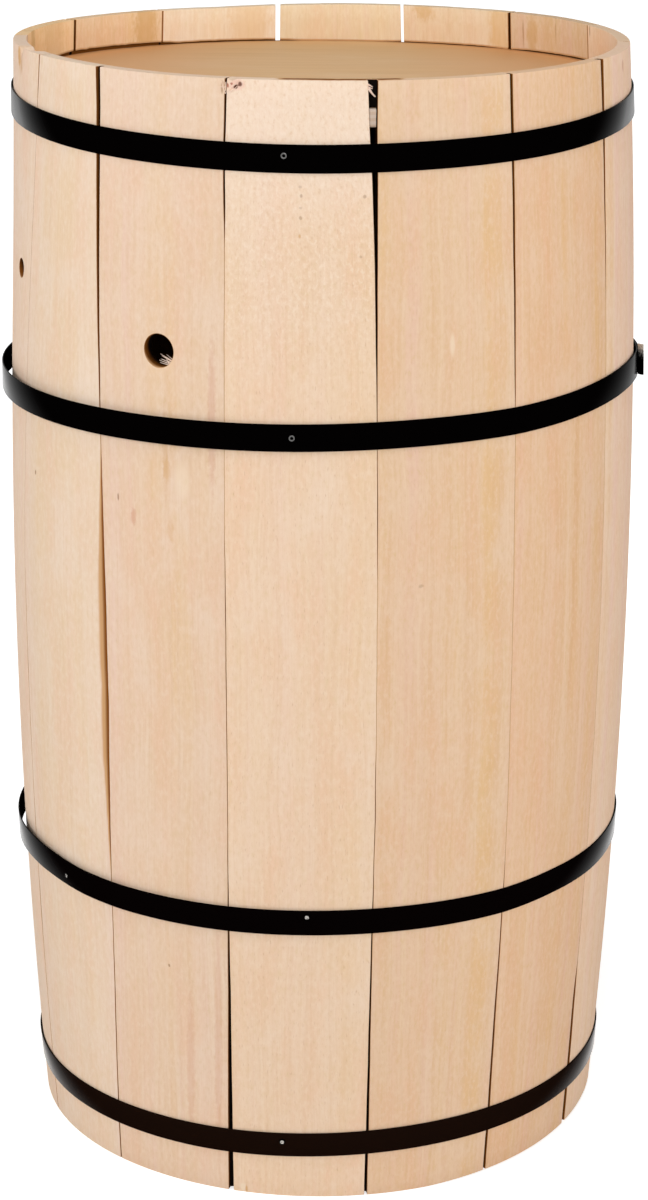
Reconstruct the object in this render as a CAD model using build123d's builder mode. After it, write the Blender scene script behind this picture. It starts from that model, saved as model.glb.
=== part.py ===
from build123d import *
from collections import namedtuple
from math import asin, atan2, cos, degrees, radians, sin, sqrt
import os

# A coopered barrel in millimetres: bent staves, two heads in their crozes, and four nailed steel hoops.
# It stands on Z = 0 round the Z axis. Azimuths are degrees from the front (-Y), growing to the right (+X).

# Staves, all bent to one arc and widest a little above the middle
barrel_height = 778.0
bilge_diameter = 440.0
bilge_rise = 29.0
bilge_height = barrel_height / 2 + bilge_rise
stave_bend_radius = 5500.0
stave_thickness = 9.0
end_bevel = 0.8
joint_clearance = 0.3

# Stave widths in shares of the mean width, from the front stave round to the right
first_joint_azimuth = -16.7
stave_width_shares = (1.00, 1.02, 1.01, 0.98, 0.98, 1.00, 1.00, 1.04, 1.03, 1.07, 0.96, 0.96, 0.95, 1.00)

# Joints gape towards the stave ends, by shares of the widest gap, one for the joint left of each stave
widest_gap = 5.8
gap_length = 240.0
top_gap_shares = (0.10, 1.00, 0.33, 0.55, 0.20, 0.12, 0.25, 0.38, 0.62, 0.20, 0.35, 0.15, 0.08, 0.45)
bottom_gap_shares = (0.42, 0.22, 0.15, 0.50, 0.10, 0.20, 0.15, 0.30, 0.12, 0.25, 0.10, 0.20, 0.08, 0.12)

# How deep a gap goes in from the outside, in shares of the stave, where over 1 is right through
gap_depth_shares = (0.6, 1.5, 0.6, 0.6, 0.6, 0.6, 0.6, 1.5, 1.5, 0.6, 0.6, 0.6, 0.6, 0.6)

# Stave ends are sawn by hand, so they stop short of the barrel's ends by shares of these
top_end_drop = 6.0
top_drop_shares = (0.0, 0.05, 0.10, 0.30, 0.40, 0.60, 0.80, 0.70, 1.0, 0.80, 0.60, 0.30, 0.10, 0.30)
bottom_end_lift = 2.0
bottom_lift_shares = (0.0, 0.10, 0.0, 0.35, 0.0, 0.40, 0.20, 0.0, 0.60, 0.0, 0.30, 0.20, 1.0, 0.0)

# Heads: plain discs held by their edge in a croze round the inside of the staves, each some way in from its end
head_thickness = 12.0
head_bevel = 1.5
croze_depth = 3.5
croze_clearance = 0.2
top_head_depth = 30.5
top_head_tilt = -1.8
bottom_head_depth = 26.0

# Holes drilled through one stave each, below the rim
tap_hole_diameter = 22.0
tap_hole_depth = 177.5
tap_hole_azimuth = -29.2
vent_hole_diameter = 13.0
vent_hole_depth = 149.0
vent_hole_azimuth = -71.5

# Hoops: flat strip flared to the slope of the staves, lapped on itself and riveted.
# The end hoops are set out from the barrel's ends, and the other two from its bilge.
hoop_width = 18.0
hoop_thickness = 1.0
hoop_clearance = 0.2
top_hoop_depth = 39.3
top_hoop_slack = 0.5
upper_hoop_rise = 133.0
upper_hoop_slack = 4.2
lower_hoop_drop = 206.2
lower_hoop_slack = 2.5
bottom_hoop_height = 41.2
bottom_hoop_slack = 0.3

# The lap leaves the ring at a slant, clears the strip's other end under it, and springs out to its tip
lap_gap = 0.15
lap_rise_angle = 18.0
rivet_angle = 22.5
rivet_radius = 2.0
rivet_head_radius = 3.6
rivet_head_height = 1.6

# Nails through the hoops into the staves
nail_radius = 1.0
nail_length = 8.0
nail_head_radius = 2.5
nail_head_height = 1.2

# Play of a rivet or nail in its hole, and how far a cut runs past what it cuts
pin_clearance = 0.05
overrun = 2.0

# Turn from the X axis to the front
front_turn = -90.0

# Each hoop touches the staves at its contact azimuth and hangs off them on the other side by its slack.
# Its tilts are degrees of rise to the back and to the right. Its lap starts at one azimuth, then spans an angle.
Hoop = namedtuple("Hoop", "name height slack contact tilt_back tilt_right lap lap_angle nails")
hoops = (
    Hoop("top_hoop", barrel_height - top_hoop_depth, top_hoop_slack, 180, 2.5, 0.35, 107, 27, (-6.8,)),
    Hoop("upper_bilge_hoop", bilge_height + upper_hoop_rise, upper_hoop_slack, 33, 0, 1.1, 121, 35, (-5.3,)),
    Hoop("lower_bilge_hoop", bilge_height - lower_hoop_drop, lower_hoop_slack, 42, -0.2, 0.65, 178, 27, (-54.7, -2.0)),
    Hoop("bottom_hoop", bottom_hoop_height, bottom_hoop_slack, -90, 0, 0.85, 190, 27, (-6.7,)),
)


def stave_radius(height):
    """Outer radius of the staves at a height."""
    return bilge_diameter / 2 - stave_bend_radius + sqrt(stave_bend_radius**2 - (height - bilge_height) ** 2)


def facing(azimuth, height=0):
    """A place on the barrel's axis whose X runs outward at an azimuth."""
    return Location((0, 0, height), (0, 0, azimuth + front_turn))


def meridian(place):
    """The upright plane at a place, with X outward and Y up."""
    return Plane(place * Rotation(90, 0, 0))


def outward(place):
    """The plane at a place that faces outward, with X to the right and Y up."""
    seat = Plane(place)
    return Plane(seat.origin, x_dir=seat.y_dir, z_dir=seat.x_dir)


def finish(builder, name):
    """Names a finished piece and writes it."""
    builder.part.label = name
    export_step(builder.part, f"parts/{name}.step")


# Where a hoop lies and how its strip is bent
def hoop_seat(hoop):
    """The middle of a hoop, tilted as it sits and moved off its contact by its slack."""
    away = Plane(facing(hoop.contact)).x_dir * -hoop.slack
    return Location((away.X, away.Y, hoop.height), (hoop.tilt_back, -hoop.tilt_right, 0))


def hoop_radius(hoop, rise=0):
    """Inner radius of a hoop at a rise above its middle."""
    return stave_radius(hoop.height + rise) + hoop.slack + hoop_clearance


def hoop_flare(hoop):
    """Degrees by which a hoop's face leans up."""
    return degrees(atan2(hoop_radius(hoop, -hoop_width / 2) - hoop_radius(hoop, hoop_width / 2), hoop_width))


def lap_shift(hoop):
    """How far the lap's centre lies from the ring's, for the lap to clear the strip's other end."""
    inner = hoop_radius(hoop)
    risen = inner + hoop_thickness + lap_gap
    return (risen**2 - inner**2) / (2 * (inner - risen * cos(radians(lap_rise_angle))))


def lap_turn(hoop, angle):
    """The turn about the lap's centre that reaches an angle about the ring's."""
    shift = lap_shift(hoop)
    return angle - degrees(asin(shift * sin(radians(angle)) / (hoop_radius(hoop) + shift)))


def lap_centre(hoop):
    """The place that the lap turns about."""
    return hoop_seat(hoop) * facing(hoop.lap) * Pos(X=-lap_shift(hoop))


def nail_planes(hoop):
    """A plane on a hoop's outer face at each of its nails."""
    outer = hoop_radius(hoop) + hoop_thickness
    lean = Rotation(0, -hoop_flare(hoop), 0)
    return [outward(hoop_seat(hoop) * facing(azimuth) * Pos(X=outer) * lean) for azimuth in hoop.nails]


def rivet_plane(hoop):
    """The plane on the lap's outer face at its rivet."""
    outer = hoop_radius(hoop) + lap_shift(hoop) + hoop_thickness
    turn = Rotation(0, 0, -lap_turn(hoop, rivet_angle))
    return outward(lap_centre(hoop) * turn * Pos(X=outer) * Rotation(0, -hoop_flare(hoop), 0))


def rivet_length(hoop):
    """From the lap's outer face through both layers, less the gap that keeps its end off the staves."""
    shift = lap_shift(hoop)
    angle = radians(rivet_angle)
    risen = sqrt((hoop_radius(hoop) + shift) ** 2 - (shift * sin(angle)) ** 2) - shift * cos(angle)
    return risen - hoop_radius(hoop) + hoop_thickness - lap_gap


def headed_pin(plane, radius, length, head_radius, head_height):
    """Adds a pin sunk below a plane, with a domed head above it."""
    dome_radius = (head_radius**2 + head_height**2) / (2 * head_height)
    with BuildSketch(Plane(plane.origin, x_dir=plane.x_dir, z_dir=-plane.y_dir)) as profile:
        with BuildLine():
            Polyline((0, head_height), (0, -length), (radius, -length), (radius, 0), (head_radius, 0))
            RadiusArc((head_radius, 0), (0, head_height), -dome_radius)
        make_face()
    revolve(profile.sketch, Axis(plane.origin, plane.z_dir))


# Where the heads sit in the staves
top_head_height = barrel_height - top_head_depth
top_head_seat = Location((0, 0, top_head_height), (top_head_tilt, 0, 0))
bottom_head_seat = Location((0, 0, bottom_head_depth))


def head_radius(height):
    """Radius of a head whose edge reaches the bottom of its croze, but for the clearance."""
    return stave_radius(height) - stave_thickness + croze_depth - croze_clearance


os.makedirs("parts", exist_ok=True)

# Staves, each cut for its crozes, its gaping joints, and the holes and nails that fall on it
joint_azimuths = [first_joint_azimuth]
for share in stave_width_shares:
    joint_azimuths.append(joint_azimuths[-1] + 360 * share / sum(stave_width_shares))

clearance_angle = degrees(joint_clearance / (bilge_diameter / 2))
holes = (
    (tap_hole_azimuth, barrel_height - tap_hole_depth, tap_hole_diameter / 2),
    (vent_hole_azimuth, barrel_height - vent_hole_depth, vent_hole_diameter / 2),
)
crozes = (
    (top_head_seat, head_radius(top_head_height)),
    (bottom_head_seat, head_radius(bottom_head_depth)),
)
stave_count = len(stave_width_shares)

for index in range(stave_count):
    left, right = joint_azimuths[index], joint_azimuths[index + 1]
    width = right - left
    bottom = bottom_end_lift * bottom_lift_shares[index]
    top = barrel_height - top_end_drop * top_drop_shares[index]
    middle = (bottom + top) / 2

    with BuildPart() as stave:
        with BuildSketch(meridian(facing(left + clearance_angle / 2))):
            with BuildLine():
                outer_face = ThreePointArc(*[(stave_radius(z), z) for z in (bottom, middle, top)])
                inner_face = ThreePointArc(*[(stave_radius(z) - stave_thickness, z) for z in (top, middle, bottom)])
                Line(outer_face @ 1, inner_face @ 0)
                Line(inner_face @ 1, outer_face @ 0)
            make_face()
        revolve(axis=Axis.Z, revolution_arc=width - clearance_angle)
        ends = stave.faces().filter_by(Axis.Z)
        chamfer(ends.edges().filter_by(GeomType.CIRCLE), length=end_bevel)

        # Crozes for the heads
        for seat, radius in crozes:
            with BuildSketch(Plane(seat)):
                Circle(radius + croze_clearance)
            extrude(amount=head_thickness / 2 + croze_clearance, both=True, mode=Mode.SUBTRACT)

        # Joints that gape, at the top and bottom of both edges
        for joint in (index, index + 1):
            number = joint % stave_count
            depth = stave_thickness * gap_depth_shares[number]
            for end, share in ((barrel_height, top_gap_shares[number]), (0, bottom_gap_shares[number])):
                inside = stave_radius(end) - depth
                closed = abs(end - gap_length)
                beyond = end + overrun if end else -overrun
                with BuildSketch(outward(facing(joint_azimuths[joint])).offset(inside)):
                    with BuildLine():
                        half = widest_gap * share / 2
                        Polyline((0, closed), (half, end), (half, beyond), (-half, beyond), (-half, end), close=True)
                    make_face()
                extrude(amount=bilge_diameter / 2, mode=Mode.SUBTRACT)

        # Drilled holes
        for azimuth, height, radius in holes:
            if (azimuth - left) % 360 < width:
                with Locations(outward(facing(azimuth, height)).offset(bilge_diameter / 2)):
                    Hole(radius, depth=bilge_diameter / 2)

        # Nail holes, sunk from the hoops
        for hoop in hoops:
            for azimuth, plane in zip(hoop.nails, nail_planes(hoop)):
                if (azimuth - left) % 360 < width:
                    with Locations(plane):
                        Hole(nail_radius + pin_clearance, depth=nail_length + pin_clearance)

    finish(stave, f"stave_{index + 1:02d}")

# Heads, with their edges bevelled into the crozes
for name, seat, height in (
    ("top_head", top_head_seat, top_head_height),
    ("bottom_head", bottom_head_seat, bottom_head_depth),
):
    with BuildPart() as head:
        with BuildSketch(Plane(seat)):
            Circle(head_radius(height))
        extrude(amount=head_thickness / 2, both=True)
        chamfer(head.edges(), length=head_bevel)
    finish(head, name)

# Hoops with the rivet of their lap and their nails
for hoop in hoops:
    ring = Plane(hoop_seat(hoop))
    lap = Plane(lap_centre(hoop))
    low, high = hoop_radius(hoop, -hoop_width / 2), hoop_radius(hoop, hoop_width / 2)

    with BuildSketch(meridian(hoop_seat(hoop) * facing(hoop.lap))) as strip:
        with BuildLine():
            Polyline(
                (low, -hoop_width / 2),
                (low + hoop_thickness, -hoop_width / 2),
                (high + hoop_thickness, hoop_width / 2),
                (high, hoop_width / 2),
                close=True,
            )
        make_face()

    with BuildPart() as band:
        revolve(strip.sketch, Axis(ring.origin, ring.z_dir), revolution_arc=360 - lap_rise_angle)
        revolve(strip.sketch, Axis(lap.origin, -lap.z_dir), revolution_arc=lap_turn(hoop, hoop.lap_angle))
        with Locations(rivet_plane(hoop).offset(overrun)):
            Hole(rivet_radius + pin_clearance, depth=rivet_length(hoop) + 2 * overrun)
        with Locations(*[plane.offset(overrun) for plane in nail_planes(hoop)]):
            Hole(nail_radius + pin_clearance, depth=hoop_thickness + 2 * overrun)
    finish(band, hoop.name)

    with BuildPart() as rivet:
        headed_pin(rivet_plane(hoop), rivet_radius, rivet_length(hoop), rivet_head_radius, rivet_head_height)
    finish(rivet, f"{hoop.name}_rivet")

    with BuildPart() as nails:
        for plane in nail_planes(hoop):
            headed_pin(plane, nail_radius, nail_length, nail_head_radius, nail_head_height)
    finish(nails, f"{hoop.name}_nails")
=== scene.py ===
import math

import bmesh
import bpy
from mathutils import Matrix, Vector, noise


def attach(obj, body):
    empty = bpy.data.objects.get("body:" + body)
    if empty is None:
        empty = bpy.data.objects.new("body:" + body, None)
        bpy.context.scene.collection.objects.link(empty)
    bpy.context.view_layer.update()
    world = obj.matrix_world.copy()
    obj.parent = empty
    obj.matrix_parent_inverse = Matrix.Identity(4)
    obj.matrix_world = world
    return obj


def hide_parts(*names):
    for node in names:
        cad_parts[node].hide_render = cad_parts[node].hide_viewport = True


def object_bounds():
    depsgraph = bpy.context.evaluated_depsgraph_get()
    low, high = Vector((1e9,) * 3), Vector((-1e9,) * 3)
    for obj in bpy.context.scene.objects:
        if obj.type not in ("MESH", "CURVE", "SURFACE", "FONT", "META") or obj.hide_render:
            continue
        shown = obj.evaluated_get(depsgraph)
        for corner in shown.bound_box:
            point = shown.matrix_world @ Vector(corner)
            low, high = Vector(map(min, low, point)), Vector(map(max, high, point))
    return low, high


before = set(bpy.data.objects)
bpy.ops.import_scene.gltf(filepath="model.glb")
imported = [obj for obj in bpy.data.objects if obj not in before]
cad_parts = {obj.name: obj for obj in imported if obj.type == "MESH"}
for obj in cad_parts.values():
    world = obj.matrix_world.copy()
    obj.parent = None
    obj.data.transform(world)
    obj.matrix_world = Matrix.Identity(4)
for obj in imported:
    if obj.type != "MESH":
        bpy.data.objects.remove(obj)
cad_low, cad_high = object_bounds()

# Staves: pale beech boards, planed hollow inside and round outside, and bent to one arc.
# Their edges are jointed by hand, so some joints close to a hair and others gape towards the ends.
# Nothing but the hoops presses them together, and a croze cut near each end holds a head.
barrel_height = cad_high.z
bilge_radius = 0.220
bilge_above_middle = 0.029
bilge_height = barrel_height / 2 + bilge_above_middle
bend_radius = 5.5
stave_thickness = 0.009
stave_edge_round = 0.0005

# How far apart the boards lie in the grain's pattern, and how close counts as touching
board_spacing = 0.37
touching, saw_snap = 1e-6, 1e-7

# Azimuths of the joints, from the front and to the right
first_joint_azimuth = math.radians(-16.7)
stave_width_shares = (1.00, 1.02, 1.01, 0.98, 0.98, 1.00, 1.00, 1.04, 1.03, 1.07, 0.96, 0.96, 0.95, 1.00)
stave_count = len(stave_width_shares)
joint_azimuths = [first_joint_azimuth]
for share in stave_width_shares:
    joint_azimuths.append(joint_azimuths[-1] + 2 * math.pi * share / sum(stave_width_shares))
stave_sides = list(zip(joint_azimuths, joint_azimuths[1:]))
half_widths = [bilge_radius * (right - left) / 2 for left, right in stave_sides]
middle_turns = [(left + right) / 2 - first_joint_azimuth for left, right in stave_sides]

# Stave ends, sawn by hand: how far tops drop and feet lift, and how far from an end the saw's line is felt
top_end_drop = 0.006
top_drop_shares = (0.0, 0.05, 0.05, 0.10, 0.15, 0.25, 0.50, 0.62, 0.88, 0.68, 0.40, 0.20, 0.10, 0.12)
top_cut_reach = 0.016
bottom_end_lift = 0.002
bottom_lift_shares = (0.0, 0.15, 1.80, 3.80, 3.40, 2.20, 1.20, 0.6, 0.40, 0.2, 0.10, 0.05, 0.05, 0.0)
bottom_cut_reach = 0.012
saw_ripple = 0.0004
saw_ripple_rates = (170, 90)

# Joints, numbered by the stave to their right: a ragged slot, and gaps that open towards both ends.
# A gap grows by the power of its opening and stops at a floor, but two joints are open right through.
joint_slot = 0.0003
slot_shares = (1.0, 1.1, 0.9, 0.8, 0.6, 0.7, 1.0, 0.8, 0.9, 1.0, 0.8, 0.6, 4.0, 1.0)
slot_least_share, slot_ragged_share, slot_ragged_rate = 0.55, 0.9, 22
slot_noise_step, slot_noise_row = 2.3, 5
joint_wander, joint_wander_rate, joint_wander_step = 0.0003, 30, 3.7
widest_gap = 0.0058
gap_length = 0.240
gap_floor = 0.0049
gap_opening = 0.75
wide_gap_openings = {1: 2.3, 3: 2.0}
top_gap_shares = (0.20, 1.00, 0.33, 0.75, 0.20, 0.04, 0.25, 0.38, 0.62, 0.20, 0.35, 0.15, 0.08, 0.65)
bottom_gap_shares = (0.60, 0.32, 0.32, 0.80, 0.10, 0.20, 0.15, 0.30, 0.12, 0.25, 0.10, 0.20, 0.08, 0.12)
through_joints = (7, 8)
joint_skews = {7: -0.28, 8: 0.157}
inner_gaps = {6: 0.0008, 10: 0.0009}

# The widest joint is open right through from a height up to a lip beside the head, where it has a floor again
lipped_joint = 1
lipped_through_height = 0.3
lip_height = 0.752
lip_floor = 0.0068
lip_swell, lip_swell_heights = 0.00022, (0.55, 0.62)
lip_gap_share = 0.1

# Stretches where a joint closes to a hair, and its edges lose their rounding
tight_spans = {
    0: (0.49, 0.67),
    1: (0.34, 0.45),
    2: (0.25, 0.55),
    3: (0.14, 0.60),
    5: (0.3, 0.80),
    10: (0.3, 0.6),
    12: (0.43, 0.735),
}
tight_fade = 0.03
tight_gap_share = 0.93
tight_round_share = 0.8

# Joints that run crooked: height and how far the joint lies to the right there
no_stray = ((0, 0),)
crooked_joints = {
    0: (
        (0, -0.0013), (0.15, 0.0008), (0.30, 0.0015), (0.37, 0.0013),
        (0.51, 0.0001), (0.66, -0.0010), (0.74, -0.0024), (0.778, -0.0019),
    ),
    1: (
        (0, 0.0022), (0.15, 0.0023), (0.30, 0.0031), (0.44, 0.0026), (0.51, 0.0018),
        (0.61, 0.0006), (0.69, -0.0003), (0.747, -0.0020), (0.778, -0.0023),
    ),
    2: (
        (0, 0.0010), (0.12, 0.0008), (0.23, 0.0024), (0.40, 0.0014),
        (0.566, 0.0002), (0.65, -0.0008), (0.72, -0.0013), (0.778, -0.0022),
    ),
    3: (
        (0, 0), (0.10, -0.0028), (0.143, -0.0024), (0.40, 0),
        (0.64, -0.0008), (0.70, -0.0015), (0.778, -0.0019),
    ),
    6: ((0, 0), (0.55, 0), (0.778, 0.0017)),
    7: ((0, 0), (0.55, 0), (0.778, 0.0042)),
    10: ((0, 0), (0.55, 0), (0.778, -0.0100)),
    12: (
        (0, -0.0095), (0.30, -0.0098), (0.43, -0.0108),
        (0.60, 0.0020), (0.70, 0.0105), (0.778, 0.0145),
    ),
    13: (
        (0, -0.003), (0.05, -0.0016), (0.126, 0.0018), (0.20, 0.0036), (0.278, 0.0051),
        (0.35, 0.0067), (0.42, 0.0059), (0.49, 0.0038), (0.60, -0.0004),
        (0.65, -0.0019), (0.705, -0.0034), (0.753, -0.0045), (0.778, -0.0064),
    ),
}

# The staves on the left lean out of the round towards their tops
lean_azimuth, lean_half_span = math.radians(-105), math.radians(75)
lean_reach, lean_start = 0.0055, 0.60

# Crozes: the upper one leans with its crooked head, and its lip gapes from one azimuth to another
croze_depth = 0.0035
croze_floor = stave_thickness - croze_depth
croze_half_height = 0.0062
croze_lip_width = 0.0016
croze_top = croze_half_height + croze_lip_width
top_head_inset = 0.0305
top_head_height = barrel_height - top_head_inset
top_head_tilt = math.radians(-1.8)
bottom_head_height = 0.026
croze_gapes = ((-152, -108, 0.0022), (-176, -146, 0.0011), (104, 140, 0.0010), (138, 170, 0.0007))
croze_gape_run_in = 0.25
croze_gape_share, croze_gape_ragged_share, croze_gape_rate = 0.9, 0.3, 0.6

# The waney edge of one joint, with the heights where it starts, is full, narrows and ends, and its two browns
wane_joint = 13
wane_course = (0.205, 0.350, 0.415, 0.555)
wane_width, wane_drop, wane_slot = 0.0074, 0.0012, 0.0003
wane_ripple_share, wane_ripple_rate = 0.15, 40
wane_least_share = 0.05
bark_stain, bark_edge_stain, bark_start = 0.55, 0.42, 0.15
bark_reach, bark_edge_reach = (0, 0.5), (0.5, 0.85)

# Chips out of the rim: azimuth, half span, drop, depth where they are deepest, and stain
rim_chips = (
    (-70.5, 3.2, 0.0042, 0.009, 0.4),
    (-73.0, 1.0, 0.008, 0.0, 0.4),
    (-16.2, 0.8, 0.0016, 0.0, 0.0),
)

# Stain, which browns the wood up to 1 and blackens it beyond: on the edges' rounding and in the joints. It is
# also painted shade deep in the joints, in the upper croze and on its lip, on the front rim's inner edge and
# between the heads
round_stain, round_stain_depth = 0.27, 0.001
joint_stain, joint_shade_loss, through_stain_and_shade_share = 0.9, 0.7, 0.2
joint_shade_rise, joint_shade_fall = (0.0002, 0.0015), (0.0070, 0.0088)
croze_painted_shade, croze_lip_painted_shade = 1.12, 0.75
inner_skin = 0.0003
inside_painted_shade = 0.95
# Painted shade along the inner edge of the front rim: its azimuths, their fade, inset from the outside and
# strength
rim_shade_azimuths, rim_shade_fade, rim_shade_inset, rim_painted_shade = (-7, 13), 2, 0.002, 0.95

# Holes: azimuth, height, radius and how brown the wall is, which painted shade darkens inwards and towards
# the top
tap_hole = (math.radians(-29.2), barrel_height - 0.1775, 0.011, 0.45)
vent_hole = (math.radians(-71.5), barrel_height - 0.149, 0.0065, 0.72)
bored_staves = {13: tap_hole, 11: vent_hole}
hole_segments = 48
hole_patch_share, hole_stain_share = 1.7, 1.1
hole_upward_shade, hole_inward_shade = 0.35, 1.2

# Cells that a board's faces are cut to before it is bent, with more cuts at its edges, wane and gap floors
stave_cell_width = 0.004
stave_cell_height = 0.013
edge_cells = (2.2 * stave_edge_round, 0.0022)
wane_cell, wane_cell_steps = 0.0011, range(3, 10)
floor_cell, inner_cell = 0.0002, 0.0004


def stave_radius(height):
    """Outer radius of the staves at a height."""
    return bilge_radius - bend_radius + math.sqrt(bend_radius**2 - (height - bilge_height) ** 2)


def around(azimuth, radius, height):
    """The point at an azimuth from the front, a radius from the barrel's axis and a height."""
    return Vector((radius * math.sin(azimuth), -radius * math.cos(azimuth), height))


def fade(value, low, high):
    """Goes smoothly from 0 at low to 1 at high."""
    share = min(max((value - low) / (high - low), 0), 1)
    return share * share * (3 - 2 * share)


def between(value, low, high, run):
    """1 from low to high, fading to 0 over a run on both sides."""
    return fade(value, low - run, low) * fade(-value, -high - run, -high)


def tightness(joint, height):
    """How far a joint is closed at a height, from 0 to 1."""
    if joint not in tight_spans:
        return 0
    return between(height, *tight_spans[joint], tight_fade)


def stray(course, place):
    """How far a crooked course lies off its straight line at a place along it."""
    if place <= course[0][0]:
        return course[0][1]
    for (start, first), (end, last) in zip(course, course[1:]):
        if place < end:
            return first + (last - first) * (place - start) / (end - start)
    return course[-1][1]


def lean(azimuth, height):
    """How far the staves stand out of the round at an azimuth and a height."""
    away = abs((azimuth - lean_azimuth + math.pi) % (2 * math.pi) - math.pi)
    rise = max(0, (height - lean_start) / (barrel_height - lean_start))
    return lean_reach * rise**2 * fade(lean_half_span - away, 0, lean_half_span)


def end_share(shares, azimuth):
    """Share of the saw's cut at an azimuth, in one line round the barrel through the staves' middles."""
    turn = (azimuth - first_joint_azimuth) % (2 * math.pi)
    before = max((i for i in range(stave_count) if middle_turns[i] <= turn), default=-1)
    after = (before + 1) % stave_count
    step = (middle_turns[after] - middle_turns[before]) % (2 * math.pi)
    gone = (turn - middle_turns[before]) % (2 * math.pi) / step
    return shares[before] + (shares[after] - shares[before]) * gone


def wane_swell(height):
    """How wide the waney edge is at a height, from 0 to 1."""
    low, low_full, high_full, high = wane_course
    return fade(height, low, low_full) * fade(-height, -high, -high_full)


def joint_floor(number, height):
    """How deep the gap of a joint is at a height."""
    if number == lipped_joint and height > lip_height:
        return lip_floor
    if number == lipped_joint and height > lipped_through_height:
        return stave_thickness
    return gap_floor


def joint_edge(joint, side, depth, height):
    """Azimuth of one edge of a joint, on side -1 or 1, at a depth from the outside and a height."""
    number = joint % stave_count
    opening = wide_gap_openings.get(number, gap_opening)
    rise = (max(0, height - barrel_height + gap_length) / gap_length) ** opening
    fall = (max(0, gap_length - height) / gap_length) ** gap_opening
    gap = widest_gap / 2 * (top_gap_shares[number] * rise + bottom_gap_shares[number] * fall)
    floor = joint_floor(number, height)
    if depth > floor and number not in through_joints:
        gap = inner_gaps.get(number, 0) * fade(height, barrel_height / 2, barrel_height)
    ragged = abs(noise.noise((slot_noise_step * number, slot_noise_row, slot_ragged_rate * height)))
    gap += joint_slot / 2 * slot_shares[number] * (slot_least_share + slot_ragged_share * ragged)
    gap *= 1 - tight_gap_share * tightness(number, height)
    if number == lipped_joint and depth <= floor:
        gap += lip_swell * fade(height, *lip_swell_heights)
    elif number == lipped_joint:
        gap *= lip_gap_share
    if number == wane_joint:
        gap += wane_slot / 2 * wane_swell(height)
    wander = joint_wander * noise.noise((joint_wander_step * number, 0, joint_wander_rate * height))
    wander += stray(crooked_joints.get(number, no_stray), height)
    wander += joint_skews.get(number, 0) * depth
    return joint_azimuths[joint] + (side * gap + wander) / stave_radius(height)


def across_board(index, azimuth, height):
    """Where an azimuth at a height lies across a stave's flat board, and the board's width to a radian."""
    left, right = joint_edge(index, 1, 0, height), joint_edge(index + 1, -1, 0, height)
    per_radian = 2 * half_widths[index] / (right - left)
    turn = (azimuth - (left + right) / 2 + math.pi) % (2 * math.pi) - math.pi
    return turn * per_radian, per_radian


def saw(bm, point, normal):
    """Cuts all faces of a board along a plane."""
    everything = bm.verts[:] + bm.edges[:] + bm.faces[:]
    bmesh.ops.bisect_plane(bm, geom=everything, dist=saw_snap, plane_co=point, plane_no=normal)


def thicken(bm, faces, way):
    """Draws faces out along a way to a closed board, and keeps them as its other side."""
    drawn_out = bmesh.ops.extrude_face_region(bm, geom=faces, use_keep_orig=True)["geom"]
    moved = [item for item in drawn_out if isinstance(item, bmesh.types.BMVert)]
    bmesh.ops.translate(bm, verts=moved, vec=way)
    bmesh.ops.recalc_face_normals(bm, faces=bm.faces)


def round_edges(bm, edges, radius, segments=2):
    """Rounds edges to about a radius."""
    bmesh.ops.bevel(
        bm, geom=edges, offset=radius, segments=segments, profile=0.5, affect="EDGES", material=-1
    )


def plane_board(half_width, bottom, top):
    """A flat board with its crozes cut: X across, Y in from the outer face and Z along the grain."""
    outline = [(0, bottom), (0, top), (stave_thickness, top)]
    for middle in (top_head_height, bottom_head_height):
        high, low = middle + croze_half_height, middle - croze_half_height
        outline += [(stave_thickness, high), (croze_floor, high), (croze_floor, low), (stave_thickness, low)]
    outline.append((stave_thickness, bottom))
    bm = bmesh.new()
    bm.verts.layers.float.new("stain")
    face = bm.faces.new([bm.verts.new((-half_width, inward, along)) for inward, along in outline])
    thicken(bm, [face], (2 * half_width, 0, 0))
    rounded = []
    for edge in bm.edges:
        middle = (edge.verts[0].co + edge.verts[1].co) / 2
        outer_edge = middle.y < touching
        end_edge = abs(middle.z - top) < touching or abs(middle.z - bottom) < touching
        if outer_edge or end_edge:
            rounded.append(edge)
    round_edges(bm, rounded, stave_edge_round)
    return bm


def drill(bm, index, azimuth, height, radius, browning):
    """Bores a round hole square through a flat board, so that it is round once the board is bent."""
    reach = hole_patch_share * radius
    across, per_radian = across_board(index, azimuth, height)
    for offset in (-reach, reach):
        saw(bm, (across + offset, 0, height), (1, 0, 0))
        saw(bm, (across, 0, height + offset), (0, 0, 1))
    rims = []
    for depth in (0, stave_thickness):
        middle = Vector((across, depth, height))
        patch = min(bm.faces, key=lambda face: (face.calc_center_median() - middle).length)
        bmesh.ops.bisect_edges(bm, edges=patch.edges[:], cuts=hole_segments // 4 - 1)
        border = patch.edges[:]
        bmesh.ops.delete(bm, geom=[patch], context="FACES_ONLY")
        drawn_in = bmesh.ops.extrude_edge_only(bm, edges=border)["geom"]
        circle = {item for item in drawn_in if isinstance(item, bmesh.types.BMVert)}
        for vert in circle:
            angle = math.atan2(vert.co.z - height, vert.co.x - across)
            along = height + radius * math.sin(angle)
            turn = math.asin(radius * math.cos(angle) / (stave_radius(along) - depth))
            vert.co = (across + turn * per_radian, depth, along)
        rims.append([edge for edge in bm.edges if circle.issuperset(edge.verts)])
    bmesh.ops.bridge_loops(bm, edges=rims[0] + rims[1])
    bmesh.ops.recalc_face_normals(bm, faces=bm.faces)
    round_edges(bm, rims[0], stave_edge_round)
    # The bore's wall is browned, and darkened inwards and towards its top with painted shade
    stain_and_shade_layer = bm.verts.layers.float["stain"]
    for vert in bm.verts:
        off_middle = math.hypot(vert.co.x - across, vert.co.z - height)
        if vert.co.y > 0 and off_middle < hole_stain_share * radius:
            upward_shade = hole_upward_shade * (1 + (vert.co.z - height) / radius)
            vert[stain_and_shade_layer] = browning + upward_shade + hole_inward_shade * vert.co.y / stave_thickness


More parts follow.
